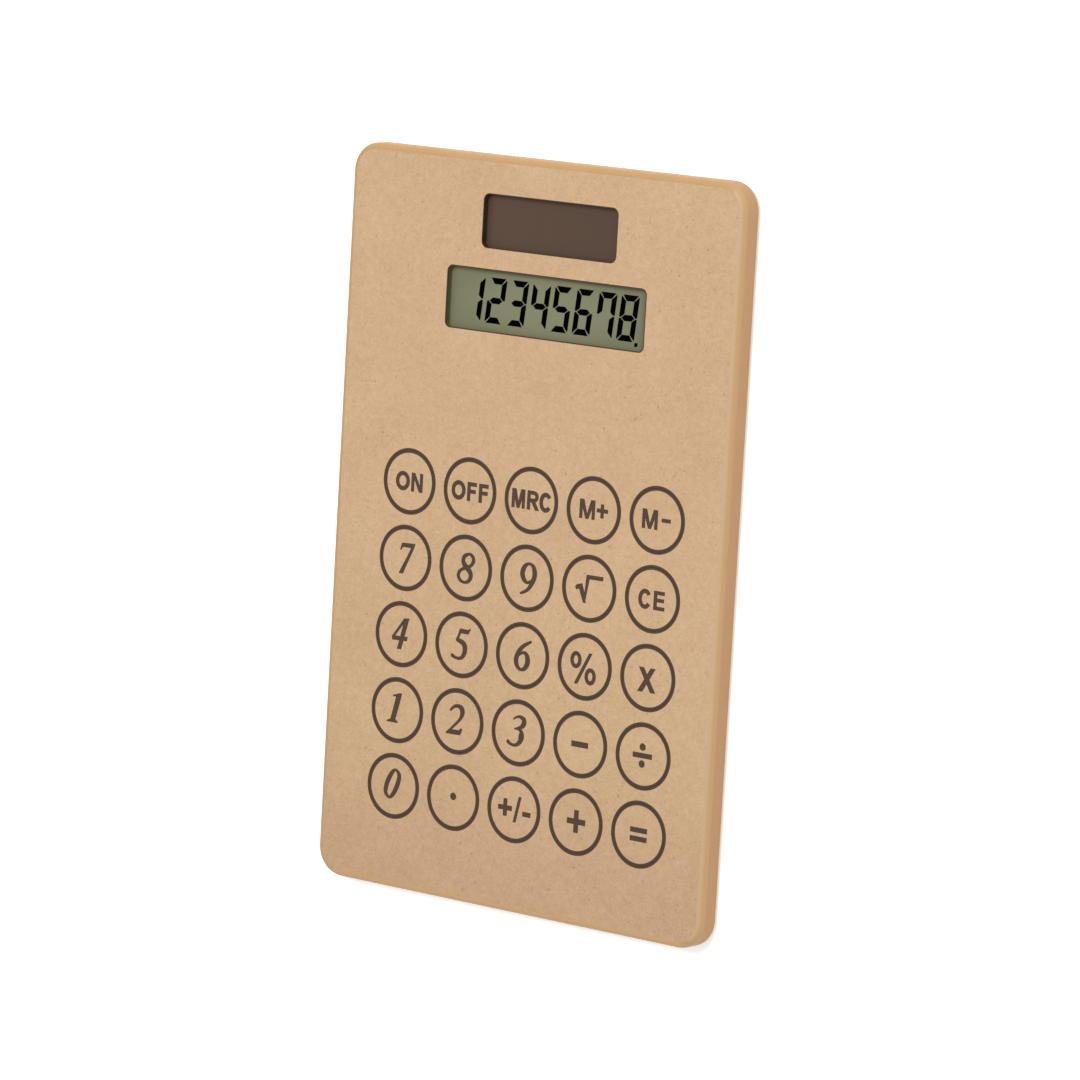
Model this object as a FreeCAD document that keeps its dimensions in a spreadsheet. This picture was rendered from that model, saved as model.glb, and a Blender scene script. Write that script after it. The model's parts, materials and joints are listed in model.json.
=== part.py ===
import FreeCAD, Part
import os
import Sketcher
from FreeCAD import Vector

# Slim solar desk calculator lying on its back: X to the right across the keys,
# Y towards the solar end, Z up out of the face, origin on the desk under the
# middle of the case.  Millimetres.

doc = FreeCAD.newDocument("desk_calculator")

# --------------------------------------------------------------------------
# Driving sizes
# --------------------------------------------------------------------------
SIZES = [
    # case
    ("case_w", 110.0), ("case_l", 169.0), ("case_z", 0.5), ("case_t", 5.5),
    ("corner_rad", 6.6), ("top_edge_rad", 1.4), ("low_edge_rad", 0.6),
    ("wall", 1.6), ("plate_t", 0.9), ("sheet_t", 0.5), ("rim", 1.45),
    # screw posts under the front plate and staking pins for the board
    ("post_x", 48.5), ("post_y_top", 77.5), ("post_y_mid", 22.0), ("post_y_low", 77.5),
    ("post_rad", 2.5), ("post_pilot_rad", 0.85), ("post_pilot_depth", 2.0), ("post_len", 2.3),
    ("stake_post_rad", 1.8), ("stake_post_len", 2.1), ("stake_rad", 0.75), ("stake_len", 2.98),
    # windows
    ("lcd_x", 2.1), ("lcd_y", 52.1), ("lcd_w", 56.0), ("lcd_l", 14.2), ("lcd_rad", 1.5),
    ("solar_x", 2.25), ("solar_y", 69.9), ("solar_w", 37.8), ("solar_l", 12.3), ("solar_rad", 1.65),
    # keys
    ("pitch", 17.5), ("grid_x", 1.5), ("grid_y", 26.0),
    ("key_rad", 6.98), ("key_hole_rad", 7.08), ("key_flange_rad", 7.9),
    ("key_flange_t", 0.5), ("key_play", 0.05), ("key_top", 6.0),
    # board
    ("board_w", 90.0), ("board_l", 133.5), ("board_y", 7.25), ("board_z", 1.7), ("board_t", 0.8),
    ("board_hole_rad", 0.85),
    # rubber keypad
    ("mat_w", 86.4), ("mat_l", 87.0), ("mat_t", 0.4), ("mat_relief_rad", 2.2),
    ("dome_top_rad", 2.6), ("dome_foot_rad", 4.6), ("dome_in_rad", 4.0), ("dome_tip_rad", 1.8),
    ("dome_shoulder_rad", 2.1), ("dome_h", 1.1), ("dome_shoulder_h", 0.72), ("dome_tip_h", 0.2),
    ("dome_web_h", 0.5),
    # display stack
    ("glass_w", 63.0), ("glass_l", 20.0), ("glass_y", 51.5), ("glass_t", 0.7), ("ledge", 3.0),
    ("film_over", 1.0), ("film_t", 0.2), ("gasket_gap", 1.2), ("gasket_over", 5.0),
    ("lcd_gasket_t", 0.25), ("film_top_gap", 0.05),
    ("zebra_w", 58.0), ("zebra_l", 2.0), ("foam_w", 50.0), ("foam_l", 12.0), ("foam_t", 0.25),
    # solar cell
    ("cell_w", 41.0), ("cell_l", 14.4), ("cell_t", 1.1), ("cell_tape_t", 0.15), ("tape_gap", 0.8),
    # leads
    ("lead_rad", 0.38), ("lead_z", 2.92), ("lead_x_start", 17.0), ("lead_y_end", 55.0),
    ("lead_pos_y", 72.0), ("lead_pos_x", 38.0), ("lead_pos_bend", 7.0),
    ("lead_neg_y", 69.0), ("lead_neg_x", 35.8), ("lead_neg_bend", 5.8),
    # rear cover
    ("back_gap", 0.1), ("back_t", 1.0), ("back_pad_rad", 2.8), ("back_pad_h", 0.8),
    ("back_edge", 0.2), ("screw_sink_rad", 1.95), ("screw_sink_depth", 0.9), ("screw_hole_rad", 0.95),
    ("rib_w", 3.0), ("rib_l", 120.0), ("rib_h", 0.2), ("rib_x", 36.0), ("rib_y", 9.0),
    # battery bay and door
    ("door_x", 30.0), ("door_y", 70.5), ("door_w", 28.0), ("door_l", 18.0), ("door_t", 0.8),
    ("door_rad", 2.0), ("door_gap", 0.12), ("bay_rim", 1.5), ("bay_h", 0.6),
    ("bay_boss_rad", 2.0), ("bay_boss_h", 1.6), ("bay_screw_x", 21.0), ("bay_pilot_rad", 0.75),
    ("button_x", 37.0), ("button_rad", 5.8), ("button_hole_rad", 6.1), ("button_t", 2.05),
    ("button_z", 1.4), ("button_step_rad", 4.9), ("button_step_h", 0.25),
    ("door_sink_rad", 1.75), ("door_sink_depth", 0.5), ("grip_w", 8.0), ("grip_l", 2.4), ("grip_depth", 0.35),
    # contact strips
    ("strip_w", 4.0), ("strip_t", 0.2), ("strip_foot_h", 0.95),
    ("strip_run_end", 75.0), ("strip_knee_hi", 60.5), ("strip_knee_lo", 58.0), ("strip_foot_end", 52.0),
    ("plus_x", 42.95), ("plus_l", 22.0), ("plus_y", 64.0), ("plus_h", 0.9), ("plus_t", 0.2),
    # chip and small parts
    ("chip_x", 2.0), ("chip_y", 30.0), ("chip_foot_rad", 6.0), ("chip_h", 1.2), ("chip_crown_rad", 2.2),
    ("chip_mid_rad", 4.6), ("chip_mid_h", 0.85),
    ("cap_w", 3.2), ("cap_l", 1.6), ("cap_h", 1.0), ("res_w", 2.0), ("res_l", 1.25), ("res_h", 0.5),
    # screws
    ("screw_head_rad", 1.7), ("screw_head_h", 0.8), ("screw_rad", 0.8), ("screw_len", 2.8),
    ("screw_cross_w", 0.5), ("screw_cross_l", 2.0), ("screw_cross_depth", 0.4),
    ("small_head_rad", 1.5), ("small_head_h", 0.45), ("small_rad", 0.7), ("small_len", 2.2),
    # feet
    ("foot_x", 44.0), ("foot_y_top", 50.0), ("foot_y_low", 70.0), ("foot_rad", 5.0), ("foot_t", 1.0),
    ("foot_seat_rad", 5.1), ("foot_edge", 0.2),
]
sheet = doc.addObject("Spreadsheet::Sheet", "Sizes")
for i, (alias, value) in enumerate(SIZES, start=1):
    sheet.set("A%d" % i, alias)
    sheet.set("B%d" % i, repr(value))
    sheet.setAlias("B%d" % i, alias)
doc.recompute()


def ex(text):
    """Turns {name} into a reference to the sheet cell of that name."""
    return text.replace("{", "Sizes.").replace("}", "")


def num(text):
    """Value of the same formula, for the starting geometry of a sketch."""
    total = sheet.evalExpression(ex(text))
    return float(total.Value if hasattr(total, "Value") else total)


# levels shared by several pieces
FACE = "({case_z} + {case_t})"
PLATE_TOP = "({case_z} + {case_t} - {sheet_t})"
PLATE_LOW = "({case_z} + {case_t} - {sheet_t} - {plate_t})"
BACK_TOP = "({case_z} + {back_t})"
BOARD_TOP = "({board_z} + {board_t})"
BAY_TOP = "({case_z} + {back_t} + {bay_h})"
DOOR_TOP = "({case_z} + {door_t})"
FILM_TOP = "(" + PLATE_LOW + " - {film_top_gap})"
GLASS_TOP = "(" + PLATE_LOW + " - {lcd_gasket_t})"


def new_body(label):
    body = doc.addObject("PartDesign::Body", label)
    body.Label = label
    return body


def datum(body, role):
    for item in body.Origin.OriginFeatures:
        if item.Role == role:
            return item


def new_sketch(body, role="XY_Plane", x=None, y=None, z=None):
    sk = body.newObject("Sketcher::SketchObject", body.Label + "_sketch")
    sk.AttachmentSupport = [(datum(body, role), "")]
    sk.MapMode = "FlatFace"
    for axis, text in (("x", x), ("y", y), ("z", z)):
        if text is not None:
            sk.setExpression("AttachmentOffset.Base." + axis, ex(text))
    return sk


def bind(sk, constraint, text):
    """Adds a sizing constraint and ties it to the sheet."""
    k = sk.addConstraint(constraint)
    name = "size%d" % k
    sk.renameConstraint(k, name)
    sk.setExpression("Constraints." + name, ex(text))


C = Sketcher.Constraint


def rect(sk, w, l):
    """Rectangle about the sketch origin."""
    a, b = num(w) / 2, num(l) / 2
    p = [Vector(-a, -b, 0), Vector(a, -b, 0), Vector(a, b, 0), Vector(-a, b, 0)]
    g = [sk.addGeometry(Part.LineSegment(p[i], p[(i + 1) % 4])) for i in range(4)]
    for i in range(4):
        sk.addConstraint(C("Coincident", g[i], 2, g[(i + 1) % 4], 1))
    for i in (0, 2):
        sk.addConstraint(C("Horizontal", g[i]))
    for i in (1, 3):
        sk.addConstraint(C("Vertical", g[i]))
    sk.addConstraint(C("Symmetric", g[0], 1, g[2], 1, -1, 1))
    bind(sk, C("DistanceX", g[0], 1, g[0], 2, 2 * a), w)
    bind(sk, C("DistanceY", g[1], 1, g[1], 2, 2 * b), l)


def round_rect(sk, w, l, r):
    """Rectangle about the sketch origin with rounded corners."""
    a, b, c = num(w) / 2, num(l) / 2, num(r)
    pi = 3.141592653589793
    pts = [(-a + c, -b, a - c, -b), (a, -b + c, a, b - c), (a - c, b, -a + c, b), (-a, b - c, -a, -b + c)]
    lines = [sk.addGeometry(Part.LineSegment(Vector(q[0], q[1], 0), Vector(q[2], q[3], 0))) for q in pts]
    mids = [(a - c, -b + c, -pi / 2), (a - c, b - c, 0.0), (-a + c, b - c, pi / 2), (-a + c, -b + c, pi)]
    arcs = []
    for mx, my, t0 in mids:
        circle = Part.Circle(Vector(mx, my, 0), Vector(0, 0, 1), c)
        arcs.append(sk.addGeometry(Part.ArcOfCircle(circle, t0, t0 + pi / 2)))
    for i in range(4):
        sk.addConstraint(C("Tangent", lines[i], 2, arcs[i], 1))
        sk.addConstraint(C("Tangent", arcs[i], 2, lines[(i + 1) % 4], 1))
    for i in (0, 2):
        sk.addConstraint(C("Horizontal", lines[i]))
    for i in (1, 3):
        sk.addConstraint(C("Vertical", lines[i]))
    for i in (1, 2, 3):
        sk.addConstraint(C("Equal", arcs[0], arcs[i]))
    sk.addConstraint(C("Symmetric", arcs[0], 3, arcs[2], 3, -1, 1))
    bind(sk, C("DistanceX", arcs[3], 3, arcs[0], 3, 2 * (a - c)), "(%s) - 2 * (%s)" % (w, r))
    bind(sk, C("DistanceY", arcs[0], 3, arcs[1], 3, 2 * (b - c)), "(%s) - 2 * (%s)" % (l, r))
    bind(sk, C("Radius", arcs[0], c), r)


def circle(sk, r, x=None, y=None, sx=1, sy=1):
    """Circle at sx * x, sy * y; x and y are positive formulas."""
    px = sx * num(x) if x else 0.0
    py = sy * num(y) if y else 0.0
    g = sk.addGeometry(Part.Circle(Vector(px, py, 0), Vector(0, 0, 1), num(r)))
    if x is None and y is None:
        sk.addConstraint(C("Coincident", g, 3, -1, 1))
    else:
        for kind, text, sign, line in (("DistanceX", x, sx, -2), ("DistanceY", y, sy, -1)):
            if text is None:
                sk.addConstraint(C("PointOnObject", g, 3, line))
            elif sign > 0:
                bind(sk, C(kind, -1, 1, g, 3, num(text)), text)
            else:
                bind(sk, C(kind, g, 3, -1, 1, num(text)), text)
    bind(sk, C("Radius", g, num(r)), r)


def polygon(sk, pts):
    """Closed outline; each corner is (x, y) as a positive formula or None for zero."""
    v = [Vector(num(p[0]) if p[0] else 0, num(p[1]) if p[1] else 0, 0) for p in pts]
    n = len(v)
    g = [sk.addGeometry(Part.LineSegment(v[i], v[(i + 1) % n])) for i in range(n)]
    for i in range(n):
        sk.addConstraint(C("Coincident", g[i], 2, g[(i + 1) % n], 1))
    for i, p in enumerate(pts):
        if p[0] is None and p[1] is None:
            sk.addConstraint(C("Coincident", g[i], 1, -1, 1))
            continue
        if p[0] is None:
            sk.addConstraint(C("PointOnObject", g[i], 1, -2))
        else:
            bind(sk, C("DistanceX", -1, 1, g[i], 1, num(p[0])), p[0])
        if p[1] is None:
            sk.addConstraint(C("PointOnObject", g[i], 1, -1))
        else:
            bind(sk, C("DistanceY", -1, 1, g[i], 1, num(p[1])), p[1])


def tip(body):
    doc.recompute()
    return body.Tip.Shape.Volume


def pad(body, sk, length, down=False):
    f = body.newObject("PartDesign::Pad", body.Label + "_pad")
    f.Profile = sk
    f.Reversed = down
    f.setExpression("Length", ex(length))
    body.Tip = f
    doc.recompute()
    return f


def pocket(body, sk, depth, up=False):
    """Cuts down from the sketch, or up; the volume has to fall."""
    before = tip(body)
    f = body.newObject("PartDesign::Pocket", body.Label + "_pocket")
    f.Profile = sk
    f.Reversed = up
    f.setExpression("Length", ex(depth))
    body.Tip = f
    after = tip(body)
    if not after < before - 1e-6:
        raise RuntimeError("pocket cut nothing in " + body.Label)
    return f


def revolve(body, sk):
    f = body.newObject("PartDesign::Revolution", body.Label + "_turn")
    f.Profile = sk
    f.ReferenceAxis = (sk, ["V_Axis"])
    f.Angle = 360.0
    body.Tip = f
    doc.recompute()
    return f


def grid_pattern(body, features, axes):
    """Repeats features over the 5 x 5 key grid from the lower left key."""
    f = body.newObject("PartDesign::LinearPattern", body.Label + "_grid")
    f.Originals = features
    f.Direction = (axes, ["H_Axis"])
    f.Direction2 = (axes, ["V_Axis"])
    f.Mode = "Extent"
    f.Mode2 = "Extent"
    f.setExpression("Length", ex("4 * {pitch}"))
    f.setExpression("Length2", ex("4 * {pitch}"))
    f.Occurrences = 5
    f.Occurrences2 = 5
    body.Tip = f
    doc.recompute()
    return f


def edges_at(feature, z, want=None):
    """Names of the edges that lie flat at height z."""
    names = []
    for k, e in enumerate(feature.Shape.Edges, start=1):
        box = e.BoundBox
        if abs(box.ZMin - z) < 1e-4 and abs(box.ZMax - z) < 1e-4 and (want is None or want(e)):
            names.append("Edge%d" % k)
    return names


def round_over(body, names, radius, kind="Fillet"):
    base = body.Tip
    f = body.newObject("PartDesign::" + kind, body.Label + "_edge")
    f.Base = (base, names)
    f.setExpression("Radius" if kind == "Fillet" else "Size", ex(radius))
    body.Tip = f
    doc.recompute()
    return f


made = []


def done(body):
    made.append(body)
    return body


KEY0_X = "{grid_x} - 2 * {pitch}"          # lower left key
KEY0_Y = "0 - {grid_y} - 2 * {pitch}"
POSTS = [("{post_x}", y, sx, sy) for y, sy in (("{post_y_top}", 1), ("{post_y_mid}", 1), ("{post_y_low}", -1)) for sx in (-1, 1)]


def circles_at_posts(sk, r):
    for x, y, sx, sy in POSTS:
        circle(sk, r, x, y, sx, sy)


def stakes(sk, r):
    """Four points between the keys, midway between columns and rows 1-2 and 4-5."""
    for sx in (-1, 1):
        for sy in (-1, 1):
            circle(sk, r, "1.5 * {pitch}", "1.5 * {pitch}", sx, sy)


# --------------------------------------------------------------------------
# Front case: shallow tray, rounded over at the face, with the key plate
# --------------------------------------------------------------------------
b = new_body("front_case")
sk = new_sketch(b, z="{case_z}")
round_rect(sk, "{case_w}", "{case_l}", "{corner_rad}")
f = pad(b, sk, "{case_t}")
round_over(b, edges_at(f, num(FACE)), "{top_edge_rad}")
round_over(b, edges_at(b.Tip, num("{case_z}")), "{low_edge_rad}")
sk = new_sketch(b, z=FACE)
round_rect(sk, "{case_w} - 2 * {rim}", "{case_l} - 2 * {rim}", "{corner_rad} - {rim}")
pocket(b, sk, "{sheet_t}")
sk = new_sketch(b, z="{case_z}")
round_rect(sk, "{case_w} - 2 * {wall}", "{case_l} - 2 * {wall}", "{corner_rad} - {wall}")
pocket(b, sk, PLATE_LOW + " - {case_z}", up=True)
sk = new_sketch(b, z=PLATE_LOW)
circles_at_posts(sk, "{post_rad}")
pad(b, sk, "{post_len}", down=True)
sk = new_sketch(b, z=PLATE_LOW + " - {post_len}")
circles_at_posts(sk, "{post_pilot_rad}")
pocket(b, sk, "{post_pilot_depth}", up=True)
sk = new_sketch(b, x="{grid_x}", y="0 - {grid_y}", z=PLATE_LOW)
stakes(sk, "{stake_post_rad}")
pad(b, sk, "{stake_post_len}", down=True)
sk = new_sketch(b, x="{grid_x}", y="0 - {grid_y}", z=PLATE_LOW)
stakes(sk, "{stake_rad}")
pad(b, sk, "{stake_len}", down=True)
for nm in ("lcd", "solar"):
    sk = new_sketch(b, x="{%s_x}" % nm, y="{%s_y}" % nm, z=PLATE_TOP)
    round_rect(sk, "{%s_w}" % nm, "{%s_l}" % nm, "{%s_rad}" % nm)
    pocket(b, sk, "{plate_t}")
sk = new_sketch(b, x=KEY0_X, y=KEY0_Y, z=PLATE_TOP)
circle(sk, "{key_hole_rad}")
f = pocket(b, sk, "{plate_t}")
grid_pattern(b, [f], sk)
done(b)

# --------------------------------------------------------------------------
# Kraft face sheet glued into the front case
# --------------------------------------------------------------------------
b = new_body("kraft_face_sheet")
sk = new_sketch(b, z=PLATE_TOP)
round_rect(sk, "{case_w} - 2 * {rim}", "{case_l} - 2 * {rim}", "{corner_rad} - {rim}")
pad(b, sk, "{sheet_t}")
for nm in ("lcd", "solar"):
    sk = new_sketch(b, x="{%s_x}" % nm, y="{%s_y}" % nm, z=FACE)
    round_rect(sk, "{%s_w}" % nm, "{%s_l}" % nm, "{%s_rad}" % nm)
    pocket(b, sk, "{sheet_t}")
sk = new_sketch(b, x=KEY0_X, y=KEY0_Y, z=FACE)
circle(sk, "{key_hole_rad}")
f = pocket(b, sk, "{sheet_t}")
grid_pattern(b, [f], sk)
done(b)

# --------------------------------------------------------------------------
# Keys: flush round cap on a flange that stays under the plate
# --------------------------------------------------------------------------
KEYS = [
    ["key_on", "key_off", "key_mrc", "key_m_plus", "key_m_minus"],
    ["key_7", "key_8", "key_9", "key_square_root", "key_ce"],
    ["key_4", "key_5", "key_6", "key_percent", "key_multiply"],
    ["key_1", "key_2", "key_3", "key_minus", "key_divide"],
    ["key_0", "key_decimal_point", "key_sign_change", "key_plus", "key_equals"],
]
for row, names in enumerate(KEYS):
    for col, label in enumerate(names):
        b = new_body(label)
        sk = new_sketch(b, "XZ_Plane")
        top = "({key_top} - " + PLATE_LOW + " + {key_play} + {key_flange_t})"
        polygon(sk, [
            (None, None), ("{key_flange_rad}", None), ("{key_flange_rad}", "{key_flange_t}"),
            ("{key_rad}", "{key_flange_t}"), ("{key_rad}", top), (None, top),
        ])
        revolve(b, sk)
        b.setExpression("Placement.Base.x", ex("{grid_x} + (%d) * {pitch}" % (col - 2)))
        b.setExpression("Placement.Base.y", ex("0 - {grid_y} + (%d) * {pitch}" % (2 - row)))
        b.setExpression("Placement.Base.z", ex(PLATE_LOW + " - {key_play} - {key_flange_t}"))
        done(b)

# --------------------------------------------------------------------------
# Rubber keypad: thin mat with a hollow dome under each key
# --------------------------------------------------------------------------
b = new_body("rubber_keypad")
sk = new_sketch(b, x="{grid_x}", y="0 - {grid_y}", z=BOARD_TOP)
rect(sk, "{mat_w}", "{mat_l}")
pad(b, sk, "{mat_t}")
sk = new_sketch(b, x="{grid_x}", y="0 - {grid_y}", z=BOARD_TOP + " + {mat_t}")
stakes(sk, "{mat_relief_rad}")
pocket(b, sk, "{mat_t}")
sk = new_sketch(b, x=KEY0_X, y=KEY0_Y, z=BOARD_TOP + " + {mat_t}")
circle(sk, "{dome_in_rad}")
hole = pocket(b, sk, "{mat_t}")
axes = sk
# the dome stands on its own cylinder pads: foot ring, web and flat tip
sk = new_sketch(b, x=KEY0_X, y=KEY0_Y, z=BOARD_TOP + " + {mat_t}")
circle(sk, "{dome_foot_rad}")
ring = pad(b, sk, "{dome_web_h}")
sk = new_sketch(b, x=KEY0_X, y=KEY0_Y, z=BOARD_TOP + " + {mat_t} + {dome_web_h}")
circle(sk, "{dome_shoulder_rad} + {dome_top_rad} - {dome_tip_rad}")
neck = pad(b, sk, "{dome_shoulder_h} - {dome_web_h}")
sk = new_sketch(b, x=KEY0_X, y=KEY0_Y, z=BOARD_TOP + " + {mat_t} + {dome_shoulder_h}")
circle(sk, "{dome_top_rad}")
crown = pad(b, sk, "{dome_h} - {dome_shoulder_h}")
sk = new_sketch(b, x=KEY0_X, y=KEY0_Y, z=BOARD_TOP + " + {mat_t}")
circle(sk, "{dome_in_rad}")
circle(sk, "{dome_shoulder_rad}")
moat = pocket(b, sk, "{dome_web_h} - 0.2", up=True)
sk = new_sketch(b, x=KEY0_X, y=KEY0_Y, z=BOARD_TOP + " + {mat_t}")
circle(sk, "{dome_shoulder_rad}")
tipcut = pocket(b, sk, "{dome_tip_h}", up=True)
grid_pattern(b, [hole, ring, neck, crown, moat, tipcut], axes)
done(b)

# --------------------------------------------------------------------------
# Circuit board with its chip and small parts
# --------------------------------------------------------------------------
b = new_body("circuit_board")
sk = new_sketch(b, y="0 - {board_y}", z="{board_z}")
rect(sk, "{board_w}", "{board_l}")
pad(b, sk, "{board_t}")
sk = new_sketch(b, x="{grid_x}", y="0 - {grid_y}", z=BOARD_TOP)
stakes(sk, "{board_hole_rad}")
pocket(b, sk, "{board_t}")
done(b)

b = new_body("chip_resin_blob")
sk = new_sketch(b, "XZ_Plane")
polygon(sk, [
    (None, None), ("{chip_foot_rad}", None), ("{chip_mid_rad}", "{chip_mid_h}"),
    ("{chip_crown_rad}", "{chip_h}"), (None, "{chip_h}"),
])
revolve(b, sk)
b.setExpression("Placement.Base.x", ex("{chip_x}"))
b.setExpression("Placement.Base.y", ex("{chip_y}"))
b.setExpression("Placement.Base.z", ex(BOARD_TOP))
done(b)


def block(label, w, l, h, x, y, z):
    o = doc.addObject("Part::Box", label)
    o.Label = label
    o.setExpression("Length", ex(w))
    o.setExpression("Width", ex(l))
    o.setExpression("Height", ex(h))
    o.setExpression("Placement.Base.x", ex("(%s) - (%s) / 2" % (x, w)))
    o.setExpression("Placement.Base.y", ex("(%s) - (%s) / 2" % (y, l)))
    o.setExpression("Placement.Base.z", ex(z))
    return o


def group(label, items):
    g = doc.addObject("Part::Compound", label)
    g.Label = label
    g.Links = items
    doc.recompute()
    return g


small = [
    block("cap_a", "{cap_w}", "{cap_l}", "{cap_h}", "{chip_x} + 12", "{chip_y} + 2", BOARD_TOP),
    block("cap_b", "{cap_w}", "{cap_l}", "{cap_h}", "{chip_x} + 12", "{chip_y} - 3", BOARD_TOP),
    block("res_a", "{res_w}", "{res_l}", "{res_h}", "{chip_x} - 12", "{chip_y} + 2", BOARD_TOP),
    block("res_b", "{res_w}", "{res_l}", "{res_h}", "{chip_x} - 12", "{chip_y} - 1", BOARD_TOP),
    block("res_c", "{res_w}", "{res_l}", "{res_h}", "{chip_x} - 12", "{chip_y} - 4", BOARD_TOP),
]
made.append(group("board_capacitors", small[:2]))
made.append(group("board_resistors", small[2:]))

# --------------------------------------------------------------------------
# Display: film, two glasses, reflector, foam, gasket and rubber connector
# --------------------------------------------------------------------------
b = new_body("display_front_film")
sk = new_sketch(b, x="{lcd_x}", y="{lcd_y}", z=GLASS_TOP)
rect(sk, "{lcd_w} + {film_over}", "{lcd_l} + {film_over}")
pad(b, sk, FILM_TOP + " - " + GLASS_TOP)
done(b)

b = new_body("display_front_glass")
sk = new_sketch(b, x="{lcd_x}", y="{glass_y}", z=GLASS_TOP + " - {glass_t}")
rect(sk, "{glass_w}", "{glass_l}")
pad(b, sk, "{glass_t}")
done(b)

b = new_body("display_rear_glass")
sk = new_sketch(b, x="{lcd_x}", y="{glass_y} + {ledge} / 2", z=GLASS_TOP + " - 2 * {glass_t}")
rect(sk, "{glass_w}", "{glass_l} - {ledge}")
pad(b, sk, "{glass_t}")
done(b)

b = new_body("display_reflector_film")
sk = new_sketch(b, x="{lcd_x}", y="{lcd_y}", z=GLASS_TOP + " - 2 * {glass_t} - {film_t}")
rect(sk, "{lcd_w} + {film_over}", "{lcd_l}")
pad(b, sk, "{film_t}")
done(b)

b = new_body("display_foam_pad")
sk = new_sketch(b, x="{lcd_x}", y="{lcd_y}", z=BOARD_TOP)
rect(sk, "{foam_w}", "{foam_l}")
pad(b, sk, "{foam_t}")
done(b)

b = new_body("display_gasket")
sk = new_sketch(b, x="{lcd_x}", y="{lcd_y}", z=GLASS_TOP)
rect(sk, "{lcd_w} + {gasket_over}", "{lcd_l} + {gasket_over}")
rect(sk, "{lcd_w} + {gasket_gap}", "{lcd_l} + {gasket_gap}")
pad(b, sk, "{lcd_gasket_t}")
done(b)

b = new_body("display_rubber_connector")
sk = new_sketch(b, x="{lcd_x}", y="{glass_y} - {glass_l} / 2 + {ledge} / 2", z=BOARD_TOP)
rect(sk, "{zebra_w}", "{zebra_l}")
pad(b, sk, GLASS_TOP + " - {glass_t} - " + BOARD_TOP)
done(b)

# --------------------------------------------------------------------------
# Solar cell, its tape frame and its two leads
# --------------------------------------------------------------------------
b = new_body("solar_cell")
sk = new_sketch(b, x="{solar_x}", y="{solar_y}", z=PLATE_LOW + " - {cell_tape_t} - {cell_t}")
rect(sk, "{cell_w}", "{cell_l}")
pad(b, sk, "{cell_t}")
done(b)

b = new_body("solar_tape_frame")
sk = new_sketch(b, x="{solar_x}", y="{solar_y}", z=PLATE_LOW + " - {cell_tape_t}")
rect(sk, "{cell_w}", "{cell_l}")
rect(sk, "{solar_w} + {tape_gap}", "{solar_l} + {tape_gap}")
pad(b, sk, "{cell_tape_t}")
done(b)


def lead(label, sign):
    """Insulated lead: out sideways from the cell, one bend, down to the board edge."""
    y, x, r = "{lead_%s_y}" % sign, "{lead_%s_x}" % sign, "{lead_%s_bend}" % sign
    body = new_body(label)
    path = new_sketch(body, z="{lead_z}")
    x0, y0, x1, y1, c = num("{lead_x_start}"), num(y), num(x), num("{lead_y_end}"), num(r)
    a = path.addGeometry(Part.LineSegment(Vector(x0, y0, 0), Vector(x1 - c, y0, 0)))
    ring = Part.Circle(Vector(x1 - c, y0 - c, 0), Vector(0, 0, 1), c)
    q = path.addGeometry(Part.ArcOfCircle(ring, 0.0, 1.5707963267948966))
    d = path.addGeometry(Part.LineSegment(Vector(x1, y0 - c, 0), Vector(x1, y1, 0)))
    path.addConstraint(C("Tangent", a, 2, q, 2))
    path.addConstraint(C("Tangent", q, 1, d, 1))
    path.addConstraint(C("Horizontal", a))
    path.addConstraint(C("Vertical", d))
    bind(path, C("DistanceX", -1, 1, a, 1, x0), "{lead_x_start}")
    bind(path, C("DistanceY", -1, 1, a, 1, y0), y)
    bind(path, C("DistanceX", -1, 1, d, 2, x1), x)
    bind(path, C("DistanceY", -1, 1, d, 2, y1), "{lead_y_end}")
    bind(path, C("Radius", q, c), r)
    prof = new_sketch(body, "YZ_Plane", x=y, y="{lead_z}", z="{lead_x_start}")
    circle(prof, "{lead_rad}")
    doc.recompute()
    f = body.newObject("PartDesign::AdditivePipe", label + "_pipe")
    f.Profile = prof
    f.Spine = (path, ["Edge1", "Edge2", "Edge3"])
    body.Tip = f
    doc.recompute()
    return body


done(lead("solar_lead_positive", "pos"))
done(lead("solar_lead_negative", "neg"))

# --------------------------------------------------------------------------
# Rear cover: flat plate inside the case walls, with screw pads, board ribs
# and the battery bay
# --------------------------------------------------------------------------
b = new_body("rear_cover")
sk = new_sketch(b, z="{case_z}")
round_rect(sk, "{case_w} - 2 * {wall} - 2 * {back_gap}", "{case_l} - 2 * {wall} - 2 * {back_gap}",
           "{corner_rad} - {wall} - {back_gap}")
f = pad(b, sk, "{back_t}")
round_over(b, edges_at(f, num("{case_z}")), "{back_edge}", "Chamfer")
sk = new_sketch(b, z=BACK_TOP)
circles_at_posts(sk, "{back_pad_rad}")
pad(b, sk, "{back_pad_h}")
sk = new_sketch(b, x="0 - {door_x}", y="{door_y}", z=BACK_TOP)
round_rect(sk, "{door_w} + 2 * {bay_rim}", "{door_l} + 2 * {bay_rim}", "{door_rad} + {bay_rim}")
pad(b, sk, "{bay_h}")
sk = new_sketch(b, x="0 - {bay_screw_x}", y="{door_y}", z=BACK_TOP)
circle(sk, "{bay_boss_rad}")
pad(b, sk, "{bay_boss_h}")
for x in ("0 - {rib_x}", "0", "{rib_x}"):
    sk = new_sketch(b, x=x, y="0 - {rib_y}", z=BACK_TOP)
    rect(sk, "{rib_w}", "{rib_l}")
    pad(b, sk, "{rib_h}")
sk = new_sketch(b, z="{case_z}")
circles_at_posts(sk, "{screw_sink_rad}")
pocket(b, sk, "{screw_sink_depth}", up=True)
sk = new_sketch(b, z="{case_z}")
circles_at_posts(sk, "{screw_hole_rad}")
pocket(b, sk, "{back_t} + {back_pad_h}", up=True)
sk = new_sketch(b, z="{case_z}")
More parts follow.
